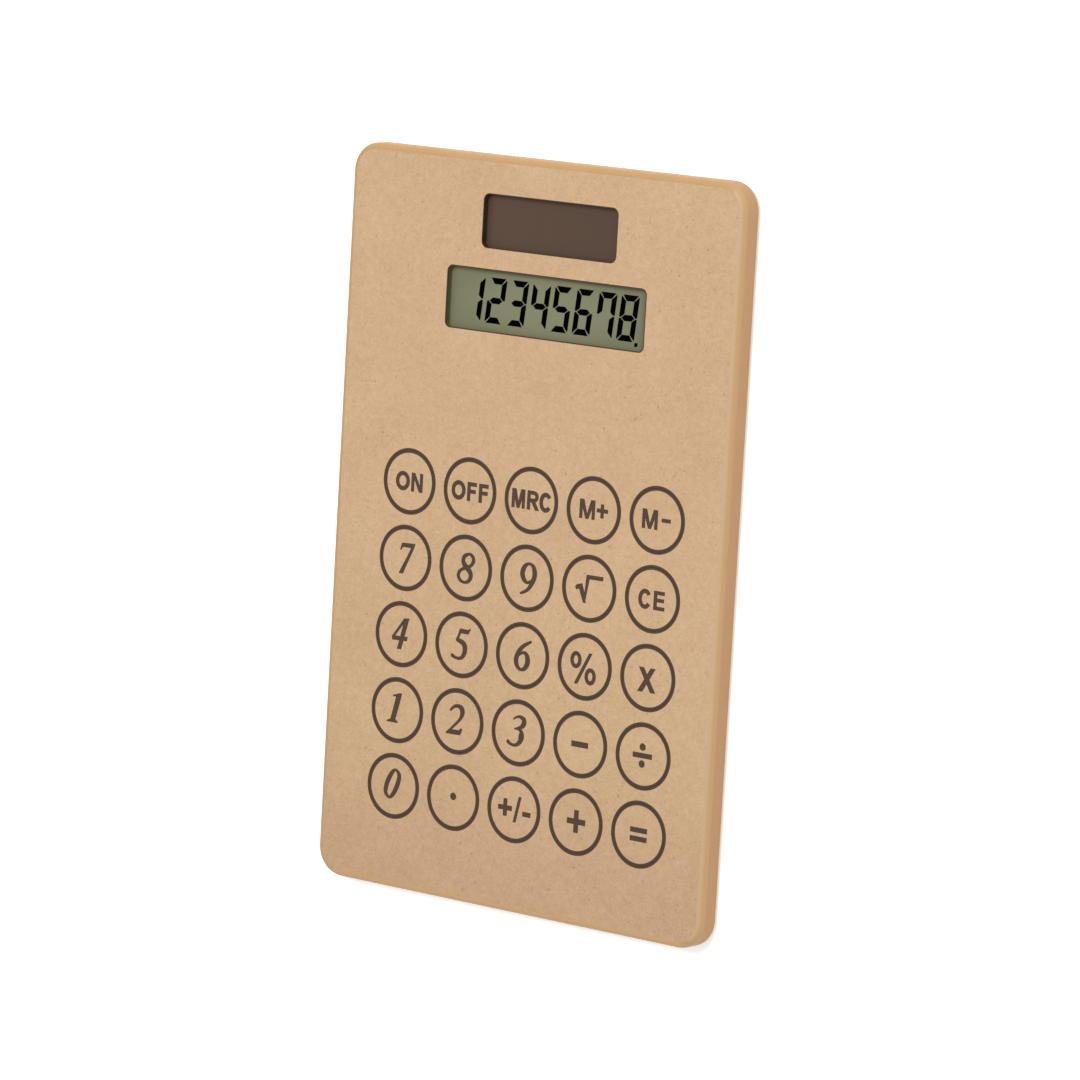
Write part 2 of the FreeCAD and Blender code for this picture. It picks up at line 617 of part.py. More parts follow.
for sx in (-1, 1):
    circle(sk, "{foot_seat_rad}", "{foot_x}", "{foot_y_top}", sx, 1)
    circle(sk, "{foot_seat_rad}", "{foot_x}", "{foot_y_low}", sx, -1)
pocket(b, sk, "{foot_t} - {case_z}", up=True)
sk = new_sketch(b, x="0 - {door_x}", y="{door_y}", z="{case_z}")
round_rect(sk, "{door_w}", "{door_l}", "{door_rad}")
pocket(b, sk, "{door_t}", up=True)
sk = new_sketch(b, x="0 - {button_x}", y="{door_y}", z="{case_z}")
circle(sk, "{button_hole_rad}")
pocket(b, sk, "{back_t} + {bay_h}", up=True)
sk = new_sketch(b, x="0 - {bay_screw_x}", y="{door_y}", z="{case_z}")
circle(sk, "{bay_pilot_rad}")
pocket(b, sk, "{back_t} + {bay_boss_h}", up=True)
done(b)

# --------------------------------------------------------------------------
# Battery: door, cell and contact strips
# --------------------------------------------------------------------------
b = new_body("battery_door")
sk = new_sketch(b, x="0 - {door_x}", y="{door_y}", z="{case_z}")
round_rect(sk, "{door_w} - 2 * {door_gap}", "{door_l} - 2 * {door_gap}", "{door_rad} - {door_gap}")
f = pad(b, sk, "{door_t}")
round_over(b, edges_at(f, num("{case_z}")), "{back_edge}", "Chamfer")
sk = new_sketch(b, x="0 - {bay_screw_x}", y="{door_y}", z="{case_z}")
circle(sk, "{door_sink_rad}")
pocket(b, sk, "{door_sink_depth}", up=True)
sk = new_sketch(b, x="0 - {bay_screw_x}", y="{door_y}", z="{case_z}")
circle(sk, "{screw_hole_rad}")
pocket(b, sk, "{door_t}", up=True)
sk = new_sketch(b, x="0 - {door_x} - {door_w} / 2 + 3", y="{door_y}", z="{case_z}")
round_rect(sk, "{grip_l}", "{grip_w}", "{grip_l} / 2 - 0.05")
pocket(b, sk, "{grip_depth}", up=True)
done(b)

b = new_body("button_cell")
sk = new_sketch(b, "XZ_Plane")
polygon(sk, [
    (None, None), ("{button_rad}", None), ("{button_rad}", "{button_t} - {button_step_h}"),
    ("{button_step_rad}", "{button_t} - {button_step_h}"), ("{button_step_rad}", "{button_t}"), (None, "{button_t}"),
])
revolve(b, sk)
b.setExpression("Placement.Base.x", ex("0 - {button_x}"))
b.setExpression("Placement.Base.y", ex("{door_y}"))
b.setExpression("Placement.Base.z", ex("{button_z}"))
done(b)

# negative strip: flat over the cell, one step down to a foot on the board
b = new_body("battery_contact_negative")
sk = new_sketch(b, "YZ_Plane", z="0 - {button_x} - {strip_w} / 2")
hi = "{button_z} + {button_t}"
polygon(sk, [
    ("{strip_foot_end}", BOARD_TOP), ("{strip_knee_lo}", BOARD_TOP), ("{strip_knee_hi}", hi),
    ("{strip_run_end}", hi), ("{strip_run_end}", hi + " + {strip_t}"), ("{strip_knee_hi} - 0.1", hi + " + {strip_t}"),
    ("{strip_knee_lo} - 0.1", BOARD_TOP + " + {strip_t}"), ("{strip_foot_end}", BOARD_TOP + " + {strip_t}"),
])
pad(b, sk, "{strip_w}")
done(b)

made.append(block("battery_contact_positive", "{plus_t}", "{plus_l}", "{plus_h}", "0 - {plus_x}", "{plus_y}", BOARD_TOP))

# --------------------------------------------------------------------------
# Screws: six in the rear cover, one in the battery door
# --------------------------------------------------------------------------


def screw(label, head_rad, head_h, rad, length, cross):
    """Pan head with a cross recess; head underneath, shank upwards from z = 0."""
    body = new_body(label)
    s = new_sketch(body, z="0 - (%s)" % head_h)
    circle(s, head_rad)
    pad(body, s, head_h)
    s = new_sketch(body)
    circle(s, rad)
    pad(body, s, length)
    for w, l in (("{screw_cross_w}", "{screw_cross_l}"), ("{screw_cross_l}", "{screw_cross_w}")):
        s = new_sketch(body, z="0 - (%s)" % head_h)
        rect(s, "(%s) * (%s)" % (w, cross), "(%s) * (%s)" % (l, cross))
        pocket(body, s, "{screw_cross_depth} * (%s)" % cross, up=True)
    return body


screws = []
for k, (x, y, sx, sy) in enumerate(POSTS):
    s = screw("case_screw_%d" % (k + 1), "{screw_head_rad}", "{screw_head_h}", "{screw_rad}", "{screw_len}", "1.0")
    s.setExpression("Placement.Base.x", ex("%d * %s" % (sx, x)))
    s.setExpression("Placement.Base.y", ex("%d * %s" % (sy, y)))
    s.setExpression("Placement.Base.z", ex("{case_z} + {screw_sink_depth}"))
    screws.append(s)
made.append(group("case_screws", screws))

b = screw("battery_door_screw", "{small_head_rad}", "{small_head_h}", "{small_rad}", "{small_len}", "0.8")
b.setExpression("Placement.Base.x", ex("0 - {bay_screw_x}"))
b.setExpression("Placement.Base.y", ex("{door_y}"))
b.setExpression("Placement.Base.z", ex("{case_z} + {door_sink_depth}"))
done(b)

# --------------------------------------------------------------------------
# Rubber feet let into the rear cover
# --------------------------------------------------------------------------
feet = []
for k, (sx, y, sy) in enumerate(((-1, "{foot_y_top}", 1), (1, "{foot_y_top}", 1), (-1, "{foot_y_low}", -1), (1, "{foot_y_low}", -1))):
    b = new_body("foot_%d" % (k + 1))
    sk = new_sketch(b)
    circle(sk, "{foot_rad}")
    f = pad(b, sk, "{foot_t}")
    round_over(b, edges_at(f, 0.0), "{foot_edge}")
    b.setExpression("Placement.Base.x", ex("%d * {foot_x}" % sx))
    b.setExpression("Placement.Base.y", ex("%d * %s" % (sy, y)))
    feet.append(b)
made.append(group("rubber_feet", feet))

# --------------------------------------------------------------------------
# Check and write
# --------------------------------------------------------------------------
doc.recompute()
for o in doc.Objects:
    if "Invalid" in o.State or "Error" in o.State:
        raise RuntimeError("%s is not valid: %s" % (o.Label, o.State))
os.makedirs("parts", exist_ok=True)
for o in made:
    shape = o.Shape
    if shape.isNull() or not shape.isValid():
        raise RuntimeError("bad shape: " + o.Label)
    shape.exportStep("parts/%s.step" % o.Label)
    box = shape.BoundBox
    print("%-26s %9.2f mm3  %d solid  x %.2f..%.2f  y %.2f..%.2f  z %.2f..%.2f" % (
        o.Label, shape.Volume, len(shape.Solids), box.XMin, box.XMax, box.YMin, box.YMax, box.ZMin, box.ZMax))
print(len(made), "nodes")
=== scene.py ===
import json
import math

import bmesh
import bpy
from mathutils import Matrix, Vector
from mathutils.geometry import delaunay_2d_cdt

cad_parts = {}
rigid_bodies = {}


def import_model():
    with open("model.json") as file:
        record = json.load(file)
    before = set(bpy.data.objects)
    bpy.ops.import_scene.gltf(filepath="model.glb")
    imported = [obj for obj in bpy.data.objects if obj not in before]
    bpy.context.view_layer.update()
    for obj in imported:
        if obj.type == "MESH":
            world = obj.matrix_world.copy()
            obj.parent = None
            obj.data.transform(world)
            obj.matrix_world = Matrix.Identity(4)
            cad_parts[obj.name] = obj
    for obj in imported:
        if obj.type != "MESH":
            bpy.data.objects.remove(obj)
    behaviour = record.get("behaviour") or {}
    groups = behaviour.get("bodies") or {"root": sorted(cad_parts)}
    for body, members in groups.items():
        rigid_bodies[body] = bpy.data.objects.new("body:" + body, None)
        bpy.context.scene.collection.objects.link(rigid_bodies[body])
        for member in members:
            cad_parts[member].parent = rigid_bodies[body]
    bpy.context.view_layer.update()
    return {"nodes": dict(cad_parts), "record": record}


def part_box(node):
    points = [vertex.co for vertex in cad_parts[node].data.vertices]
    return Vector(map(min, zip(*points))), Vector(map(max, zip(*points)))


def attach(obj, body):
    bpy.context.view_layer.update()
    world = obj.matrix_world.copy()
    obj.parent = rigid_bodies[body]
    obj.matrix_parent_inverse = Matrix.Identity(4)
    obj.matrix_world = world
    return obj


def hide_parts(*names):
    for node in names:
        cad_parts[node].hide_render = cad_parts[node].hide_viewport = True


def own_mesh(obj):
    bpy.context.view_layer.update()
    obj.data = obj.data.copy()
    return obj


for old in list(bpy.data.objects):
    bpy.data.objects.remove(old, do_unlink=True)

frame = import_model()
nodes = frame["nodes"]
MM = 0.001

# --------------------------------------------------------------------------
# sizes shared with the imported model, in millimetres
# --------------------------------------------------------------------------
FACE_Z = 6.0
INK = 0.014
COLS = [-33.5, -16.0, 1.5, 19.0, 36.5]
ROWS = [9.0, -8.5, -26.0, -43.5, -61.0]
KEYS = [
    ["key_on", "key_off", "key_mrc", "key_m_plus", "key_m_minus"],
    ["key_7", "key_8", "key_9", "key_square_root", "key_ce"],
    ["key_4", "key_5", "key_6", "key_percent", "key_multiply"],
    ["key_1", "key_2", "key_3", "key_minus", "key_divide"],
    ["key_0", "key_decimal_point", "key_sign_change", "key_plus", "key_equals"],
]
CAP_R, HOLE_R = 6.98, 7.08
RING_IN, RING_OUT = 6.49, 7.575
# how far the ink of each legend spreads
SPREAD = {
    "key_on": 0.05, "key_off": 0.05, "key_mrc": 0.05, "key_m_plus": 0.05, "key_m_minus": 0.05,
    "key_ce": 0.05, "key_percent": 0.05, "key_square_root": 0.05,
    "key_7": 0.055, "key_4": 0.045, "key_5": 0.045, "key_1": 0.04, "key_2": 0.085, "key_3": 0.045, "key_multiply": 0.04,
}
SHIFT_X = [0.19, 0.11, 0.01, -0.12, -0.31]
SHIFT_Y = [0.12, 0.0, -0.07, -0.09, -0.10]


# --------------------------------------------------------------------------
# material helpers
# --------------------------------------------------------------------------
class Mat:
    def __init__(self, name):
        self.m = bpy.data.materials.get(name) or bpy.data.materials.new(name)
        self.m.use_nodes = True
        self.t = self.m.node_tree
        self.t.nodes.clear()
        self.out = self.t.nodes.new("ShaderNodeOutputMaterial")
        self.p = self.t.nodes.new("ShaderNodeBsdfPrincipled")
        self.t.links.new(self.p.outputs[0], self.out.inputs["Surface"])
        self.co = self.t.nodes.new("ShaderNodeTexCoord")
        self.mm = self.mapping(self.co.outputs["Object"], scale=(1000, 1000, 1000))

    def link(self, a, b):
        self.t.links.new(a, b)

    def mapping(self, src, scale=(1, 1, 1), rot=(0, 0, 0), loc=(0, 0, 0)):
        n = self.t.nodes.new("ShaderNodeMapping")
        n.inputs["Scale"].default_value = scale
        n.inputs["Rotation"].default_value = rot
        n.inputs["Location"].default_value = loc
        self.link(src, n.inputs["Vector"])
        return n.outputs["Vector"]

    def noise(self, scale, detail=3.0, rough=0.55, src=None, distort=0.0):
        n = self.t.nodes.new("ShaderNodeTexNoise")
        n.inputs["Scale"].default_value = scale
        n.inputs["Detail"].default_value = detail
        n.inputs["Roughness"].default_value = rough
        n.inputs["Distortion"].default_value = distort
        self.link(src or self.mm, n.inputs["Vector"])
        return n.outputs["Fac"]

    def voronoi(self, scale, src=None):
        n = self.t.nodes.new("ShaderNodeTexVoronoi")
        n.inputs["Scale"].default_value = scale
        self.link(src or self.mm, n.inputs["Vector"])
        return n.outputs["Distance"], n.outputs["Color"]

    def math(self, op, a, b=0.0, c=0.0, clamp=False):
        n = self.t.nodes.new("ShaderNodeMath")
        n.operation = op
        n.use_clamp = clamp
        for i, v in enumerate((a, b, c)):
            if isinstance(v, (int, float)):
                n.inputs[i].default_value = v
            else:
                self.link(v, n.inputs[i])
        return n.outputs[0]

    def remap(self, v, a, b, c=0.0, d=1.0, smooth=False):
        n = self.t.nodes.new("ShaderNodeMapRange")
        n.interpolation_type = "SMOOTHSTEP" if smooth else "LINEAR"
        n.clamp = True
        n.inputs["From Min"].default_value = a
        n.inputs["From Max"].default_value = b
        n.inputs["To Min"].default_value = c
        n.inputs["To Max"].default_value = d
        self.link(v, n.inputs["Value"])
        return n.outputs["Result"]

    def mix(self, fac, a, b, mode="MIX"):
        n = self.t.nodes.new("ShaderNodeMix")
        n.data_type = "RGBA"
        n.blend_type = mode
        n.clamp_factor = True
        for sock, v in ((n.inputs[0], fac), (n.inputs[6], a), (n.inputs[7], b)):
            if isinstance(v, (int, float)):
                sock.default_value = v
            elif isinstance(v, (tuple, list)):
                sock.default_value = v
            else:
                self.link(v, sock)
        return n.outputs[2]

    def bump(self, height, strength, dist_mm, prev=None):
        n = self.t.nodes.new("ShaderNodeBump")
        n.inputs["Strength"].default_value = strength
        n.inputs["Distance"].default_value = dist_mm * MM
        self.link(height, n.inputs["Height"])
        if prev is not None:
            self.link(prev, n.inputs["Normal"])
        return n.outputs["Normal"]

    def set(self, **kw):
        names = {
            "color": "Base Color",
            "rough": "Roughness",
            "metal": "Metallic",
            "spec": "Specular IOR Level",
            "normal": "Normal",
            "coat": "Coat Weight",
            "coat_rough": "Coat Roughness",
            "sheen": "Sheen Weight",
            "sheen_rough": "Sheen Roughness",
            "sss": "Subsurface Weight",
            "ior": "IOR",
            "trans": "Transmission Weight",
            "alpha": "Alpha",
        }
        for k, v in kw.items():
            sock = self.p.inputs[names[k]]
            if isinstance(v, (int, float, tuple, list)):
                sock.default_value = v
            else:
                self.link(v, sock)
        return self


def shade(c, f):
    return (c[0] * f, c[1] * f, c[2] * f, 1.0)


# --------------------------------------------------------------------------
# materials
# --------------------------------------------------------------------------
# kraft colours: the upper end as lit, the lower end in painted shade
KRAFT_LIT_TOP = (0.483, 0.321, 0.187, 1.0)
KRAFT_SHADED_LOW = (0.446, 0.286, 0.166, 1.0)


def make_kraft():
    k = Mat("kraft_board_paper")
    cloud = k.noise(0.06, 4.0, 0.6)
    mottle = k.noise(0.62, 4.0, 0.62)
    fine = k.noise(2.6, 4.0, 0.7)
    # fibres lie every way: each layer is stretched along its own direction and bent
    fib = None
    for turn in (0.25, 1.05, 1.85, 2.65):
        along = k.mapping(k.mapping(k.mm, rot=(0, 0, turn)), (0.75, 3.4, 1.0), loc=(7.3 * turn, 3.1, 0))
        f = k.noise(1.0, 2.0, 0.5, along, 1.6)
        fib = f if fib is None else k.math("ADD", fib, f)
    fibre = k.remap(fib, 1.6, 2.4, -1.0, 1.0)
    # lightness about zero: broad clouds, mottling, fibres and fine grain
    v = k.math("MULTIPLY", k.remap(cloud, 0.3, 0.7, -1.0, 1.0), 0.036)
    v = k.math("MULTIPLY_ADD", k.remap(mottle, 0.3, 0.7, -1.0, 1.0), 0.052, v)
    v = k.math("MULTIPLY_ADD", fibre, 0.070, v)
    v = k.math("MULTIPLY_ADD", k.remap(fine, 0.3, 0.7, -1.0, 1.0), 0.086, v)
    # painted shade: the sheet is painted a shade warmer and deeper towards its lower end, standing in for the key light
    # falling off down the sheet
    sep0 = k.t.nodes.new("ShaderNodeSeparateXYZ")
    k.link(k.mm, sep0.inputs[0])
    painted_falloff = k.remap(sep0.outputs[1], -92.0, -38.0, 0.0, 1.0, True)
    base = k.mix(painted_falloff, KRAFT_SHADED_LOW, KRAFT_LIT_TOP)
    comb = k.t.nodes.new("ShaderNodeCombineColor")
    for i, gain in enumerate((1.0, 1.2, 1.55)):
        k.link(k.math("MULTIPLY_ADD", v, gain, 1.0), comb.inputs[i])
    col = k.mix(1.0, base, comb.outputs[0], "MULTIPLY")
    # dark flecks, short dark fibres and a few pale fibres
    d, c = k.voronoi(0.62)
    sep = k.t.nodes.new("ShaderNodeSeparateColor")
    k.link(c, sep.inputs[0])
    patch = k.noise(0.11, 2.0, 0.5)
    pick = k.math("GREATER_THAN", k.math("MULTIPLY_ADD", patch, 1.1, sep.outputs[0]), 1.19)
    size = k.math("MULTIPLY_ADD", sep.outputs[1], 0.115, 0.125)
    edge = k.math("SUBTRACT", k.math("MULTIPLY_ADD", fine, 0.19, d), size)
    fleck = k.math("MULTIPLY", k.remap(edge, 0.0, 0.10, 1.0, 0.0, True), pick)
    d2, c2 = k.voronoi(1.0, k.mapping(k.mm, (0.26, 1.35, 1.0), (0, 0, 0.8)))
    sep2 = k.t.nodes.new("ShaderNodeSeparateColor")
    k.link(c2, sep2.inputs[0])
    hair = k.math("MULTIPLY", k.remap(d2, 0.05, 0.2, 1.0, 0.0, True), k.math("GREATER_THAN", sep2.outputs[0], 0.74))
    d3, c3 = k.voronoi(1.0, k.mapping(k.mm, (1.2, 0.24, 1.0), (0, 0, 0.35), (3.7, 1.9, 0)))
    sep3 = k.t.nodes.new("ShaderNodeSeparateColor")
    k.link(c3, sep3.inputs[0])
    pale = k.math("MULTIPLY", k.remap(d3, 0.05, 0.2, 1.0, 0.0, True), k.math("GREATER_THAN", sep3.outputs[0], 0.76))
    dark = k.math("MULTIPLY", fleck, k.math("MULTIPLY_ADD", sep.outputs[2], 0.25, 0.13))
    dark = k.math("MAXIMUM", dark, k.math("MULTIPLY", hair, 0.17))
    col = k.mix(k.math("MULTIPLY", pale, 0.12), col, (0.72, 0.56, 0.40, 1.0))
    col = k.mix(dark, col, (0.17, 0.095, 0.05, 1.0))
    rough = k.remap(mottle, 0.25, 0.75, 0.74, 0.90)
    h = k.math("MULTIPLY_ADD", fibre, 0.5, fine)
    k.set(color=col, rough=rough, spec=0.25, normal=k.bump(h, 0.22, 0.05))
    return k.m


def make_case():
    k = Mat("case_tan_moulded")
    cloud = k.noise(0.05, 3.0, 0.5)
    mott = k.noise(0.9, 3.0, 0.55)
    grain = k.noise(9.0, 2.0, 0.5)
    col = k.mix(
        k.remap(cloud, 0.35, 0.65, 0.0, 1.0, True),
        (0.452, 0.268, 0.117, 1.0),
        (0.436, 0.257, 0.111, 1.0),
    )
    col = k.mix(
        k.remap(mott, 0.5, 0.75, 0.0, 0.10, True), col, (0.37, 0.215, 0.094, 1.0)
    )
    # painted light: the upper rim is painted paler along the right side and the lower end, with a painted sheen on the
    # right rim, and the walls are painted a shade deeper as painted shade
    sep = k.t.nodes.new("ShaderNodeSeparateXYZ")
    k.link(k.mm, sep.inputs[0])
    # painted light: the upper right wall and rounding are painted paler, standing in for light from the right
    side = k.remap(sep.outputs[0], 51.2, 52.4, 0.0, 1.0, True)
    col = k.mix(k.math("MULTIPLY", side, k.remap(sep.outputs[2], 4.5, 5.1, 0.0, 1.0, True)), col, (0.472, 0.288, 0.132, 1.0))
    # painted highlight: the rim at the lower end is painted paler
    painted_lower_rim_light = k.math("MULTIPLY", k.remap(sep.outputs[1], -83.3, -82.9, 1.0, 0.0, True), k.remap(sep.outputs[2], 5.0, 5.6, 0.0, 1.0, True))
    col = k.mix(painted_lower_rim_light, col, (0.500, 0.305, 0.146, 1.0))
    # painted sheen: the flat of the right rim is painted paler and less saturated
    painted_rim_sheen = k.math("MULTIPLY", k.math("MULTIPLY", side, 0.85), k.remap(sep.outputs[2], 5.52, 5.97, 0.0, 1.0, True))
    col = k.mix(painted_rim_sheen, col, (0.478, 0.322, 0.192, 1.0))
    # painted shade: the walls below the rim are painted a shade deeper
    col = k.mix(k.remap(sep.outputs[2], 4.2, 4.9, 0.5, 0.0, True), col, (0.404, 0.208, 0.089, 1.0))
    k.set(
        color=col,
        rough=k.remap(mott, 0.3, 0.7, 0.46, 0.58),
        spec=0.3,
        normal=k.bump(grain, 0.10, 0.03),
    )
    return k.m


def make_ink():
    k = Mat("legend_ink")
    a = k.noise(2.2, 3.0, 0.6)
    b = k.noise(11.0, 2.0, 0.6)
    v = k.math("MULTIPLY_ADD", b, 0.4, a)
    col = k.mix(
        k.remap(v, 0.45, 0.95, 0.0, 1.0),
        (0.060, 0.036, 0.024, 1.0),
        (0.072, 0.045, 0.031, 1.0),
    )
    k.set(color=col, rough=k.remap(a, 0.3, 0.7, 0.6, 0.75), spec=0.18, normal=k.bump(b, 0.1, 0.02))
    return k.m


def make_film():
    k = Mat("display_polariser")
    sep = k.t.nodes.new("ShaderNodeSeparateXYZ")
    k.link(k.mm, sep.inputs[0])
    # painted light: the film is painted lighter in its middle and darker towards the window edges
    dx = k.math("DIVIDE", k.math("SUBTRACT", sep.outputs[0], 2.0), 26.0)
    dy = k.math("DIVIDE", k.math("SUBTRACT", sep.outputs[1], 52.0), 8.0)
    r2 = k.math("ADD", k.math("MULTIPLY", dx, dx), k.math("MULTIPLY", dy, dy))
    painted_centre_light = k.remap(r2, 0.0, 1.2, 1.0, 0.0, True)
    n = k.noise(0.35, 2.0, 0.5)
    fac = k.math("MULTIPLY_ADD", k.remap(n, 0.3, 0.7, -1.0, 1.0), 0.08, painted_centre_light)
    col = k.mix(fac, (0.153, 0.155, 0.089, 1.0), (0.177, 0.178, 0.105, 1.0))
    # painted shadow: the film is painted deeper along its right end, where the window's right wall shades it
    col = k.mix(k.remap(sep.outputs[0], 27.3, 28.7, 0.0, 0.30, True), col, (0.062, 0.052, 0.024, 1.0))
    grain = k.noise(16.0, 2.0, 0.5)
    k.set(color=col, rough=k.remap(grain, 0.3, 0.7, 0.26, 0.34), spec=0.25, normal=k.bump(grain, 0.03, 0.01))
    return k.m


def make_segments():
    k = Mat("display_segments")
    n = k.noise(1.4, 2.0, 0.5)
    col = k.mix(n, (0.0002, 0.0003, 0.0002, 1.0), (0.0007, 0.0008, 0.0005, 1.0))
    k.set(color=col, rough=k.remap(n, 0.3, 0.7, 0.4, 0.5), spec=0.005)
    return k.m


def make_solar():
    k = Mat("solar_amorphous")
    sep = k.t.nodes.new("ShaderNodeSeparateXYZ")
    k.link(k.mm, sep.inputs[0])
    g = k.remap(sep.outputs[0], -17.0, 21.5, 0.0, 1.0)
    n = k.noise(0.4, 3.0, 0.5)
    fac = k.math("MULTIPLY_ADD", k.remap(n, 0.3, 0.7, -1.0, 1.0), 0.15, g)
    col = k.mix(fac, (0.083, 0.050, 0.034, 1.0), (0.075, 0.046, 0.031, 1.0))
    # the fine laser lines that part the strips of the cell
    line = k.math("PINGPONG", k.math("ADD", sep.outputs[0], 2.475), 4.725)
    mask = k.remap(line, 0.03, 0.09, 0.35, 0.0, True)
    col = k.mix(mask, col, (0.064, 0.039, 0.027, 1.0))
    grain = k.noise(14.0, 2.0, 0.5)
    k.set(color=col, rough=k.remap(grain, 0.3, 0.7, 0.20, 0.27), spec=0.2, normal=k.bump(grain, 0.02, 0.01))
    return k.m


def make_plain(name, c, rough, metal=0.0, spec=0.5, var=0.08, scale=1.0, bump=0.08, brushed=None):
    """A moulded, cast or drawn finish: colour and roughness vary a little."""
    k = Mat(name)
    if brushed:
        a = k.noise(1.0, 3.0, 0.6, k.mapping(k.mm, brushed))
    else:
        a = k.noise(0.6 * scale, 4.0, 0.6)
    b = k.noise(7.0 * scale, 2.0, 0.55)
    col = k.mix(k.remap(a, 0.3, 0.7, 0.0, 1.0), shade(c, 1 - var), shade(c, 1 + var))
    k.set(
        color=col,
        rough=k.remap(a, 0.3, 0.7, max(0.03, rough - 0.06), min(1.0, rough + 0.06)),
        metal=metal,
        spec=spec,
        normal=k.bump(b, bump, 0.03),
    )
    return k.m


def make_board():
    k = Mat("board_laminate_green")
    weave = k.t.nodes.new("ShaderNodeTexWave")
    weave.inputs["Scale"].default_value = 3.0
    weave.inputs["Distortion"].default_value = 1.2
    k.link(k.mm, weave.inputs["Vector"])
    n = k.noise(0.5, 3.0, 0.5)
    col = k.mix(k.remap(n, 0.3, 0.7, 0.0, 1.0), (0.02, 0.10, 0.045, 1), (0.03, 0.13, 0.06, 1))
    col = k.mix(k.math("MULTIPLY", weave.outputs["Fac"], 0.15), col, (0.08, 0.2, 0.09, 1))
    k.set(color=col, rough=k.remap(n, 0.3, 0.7, 0.32, 0.45), normal=k.bump(weave.outputs["Fac"], 0.1, 0.02))
    return k.m


def make_glass():
    k = Mat("display_cell_glass")
    n = k.noise(0.3, 2.0, 0.5)
    col = k.mix(n, (0.86, 0.90, 0.84, 1), (0.90, 0.93, 0.88, 1))
    k.set(color=col, rough=k.remap(n, 0.3, 0.7, 0.02, 0.05), trans=0.9, ior=1.5)
    return k.m


KRAFT = make_kraft()
CASE = make_case()
INKM = make_ink()
FILM = make_film()
SEGM = make_segments()
SOLAR = make_solar()
# painted shade: dark colours for the window walls and rims, standing in for the shade in the recessed windows
SOLAR_WALL_SHADE = make_plain("solar_window_wall", (0.050, 0.034, 0.022), 0.6, var=0.12, spec=0.25)
DISPLAY_WALL_SHADE = make_plain("display_window_wall", (0.145, 0.136, 0.054), 0.6, var=0.10, spec=0.25)
RIM_SHADE = make_plain("window_rim_singed", (0.066, 0.036, 0.017), 0.7, var=0.18, spec=0.2)
SILICONE = make_plain("keypad_silicone_grey", (0.42, 0.42, 0.40), 0.62, var=0.05)
SLOT = {
    "case_tan": CASE,
    "kraft_board": KRAFT,
    "keypad_silicone": SILICONE,
    "board_laminate": make_board(),
    "black_resin": make_plain("chip_resin_black", (0.012, 0.012, 0.013), 0.34, var=0.2),
    "capacitor_body": make_plain("capacitor_ceramic", (0.36, 0.24, 0.13), 0.4, var=0.12),
    "display_olive": FILM,
    "display_glass": make_glass(),
    "reflector_film": make_plain("reflector_silver", (0.70, 0.71, 0.66), 0.3, metal=0.6, var=0.05),
    "black_foam": make_plain("foam_black", (0.016, 0.016, 0.017), 0.92, var=0.3, scale=3.0, bump=0.5),
    "connector_rubber": make_plain("connector_zebra", (0.10, 0.09, 0.085), 0.7, var=0.4, brushed=(6.0, 0.2, 0.2)),
    "solar_brown": SOLAR,
    "lead_red": make_plain("lead_red_pvc", (0.42, 0.022, 0.018), 0.45, var=0.08),
    "lead_black": make_plain("lead_black_pvc", (0.018, 0.018, 0.02), 0.45, var=0.15),
    "cell_steel": make_plain("cell_steel_brushed", (0.62, 0.62, 0.61), 0.28, metal=1.0, var=0.06, brushed=(0.3, 6.0, 0.3)),
    "contact_steel": make_plain("contact_steel_rolled", (0.60, 0.58, 0.54), 0.3, metal=1.0, var=0.07, brushed=(0.3, 8.0, 0.3)),
    "screw_steel": make_plain("screw_steel_zinc", (0.36, 0.36, 0.37), 0.36, metal=1.0, var=0.12),
    "foot_rubber": make_plain("foot_rubber_grey", (0.085, 0.075, 0.066), 0.8, var=0.1, scale=2.0, bump=0.2),
}
slots_of = {}
for entry in frame["record"]["materials"]:
    for n in entry.get("nodes", []) or []:
        slots_of[n] = entry["slot"]
for n, o in nodes.items():
    for s in o.material_slots:
        key = (s.material.name if s.material else "").split(".")[0]
        m = SLOT.get(key) or SLOT.get(slots_of.get(n, ""))
        if m is not None:
            s.material = m


# --------------------------------------------------------------------------
# outlines for legends, as unions of polygons
# --------------------------------------------------------------------------
def catmull(p0, p1, p2, p3, t):
    return [
        0.5 * (2 * b + (c - a) * t + (2 * a - 5 * b + 4 * c - d) * t * t + (3 * b - a - 3 * c + d) * t ** 3)
        for a, b, c, d in zip(p0, p1, p2, p3)
    ]


def curve(pts, closed=False, n=7):
    """A smooth line through the points, with any width carried along."""
    out = []
    m = len(pts)
    spans = m if closed else m - 1
    for i in range(spans):
        if closed:
            q = [pts[(i + j) % m] for j in (-1, 0, 1, 2)]
        else:
            q = [pts[max(0, i - 1)], pts[i], pts[i + 1], pts[min(m - 1, i + 2)]]
        for s in range(n):
            out.append(catmull(*q, s / n))
    if not closed:
        out.append(list(pts[-1]))
    return out


def hull(pts):
    pts = sorted(set((round(x, 5), round(y, 5)) for x, y in pts))
    if len(pts) < 3:
        return pts

    def half(ps):
        h = []
        for p in ps:
            while len(h) >= 2 and (h[-1][0] - h[-2][0]) * (p[1] - h[-2][1]) - (h[-1][1] - h[-2][1]) * (p[0] - h[-2][0]) <= 1e-9:
                h.pop()
            h.append(p)
        return h

    return half(pts)[:-1] + half(pts[::-1])[:-1]


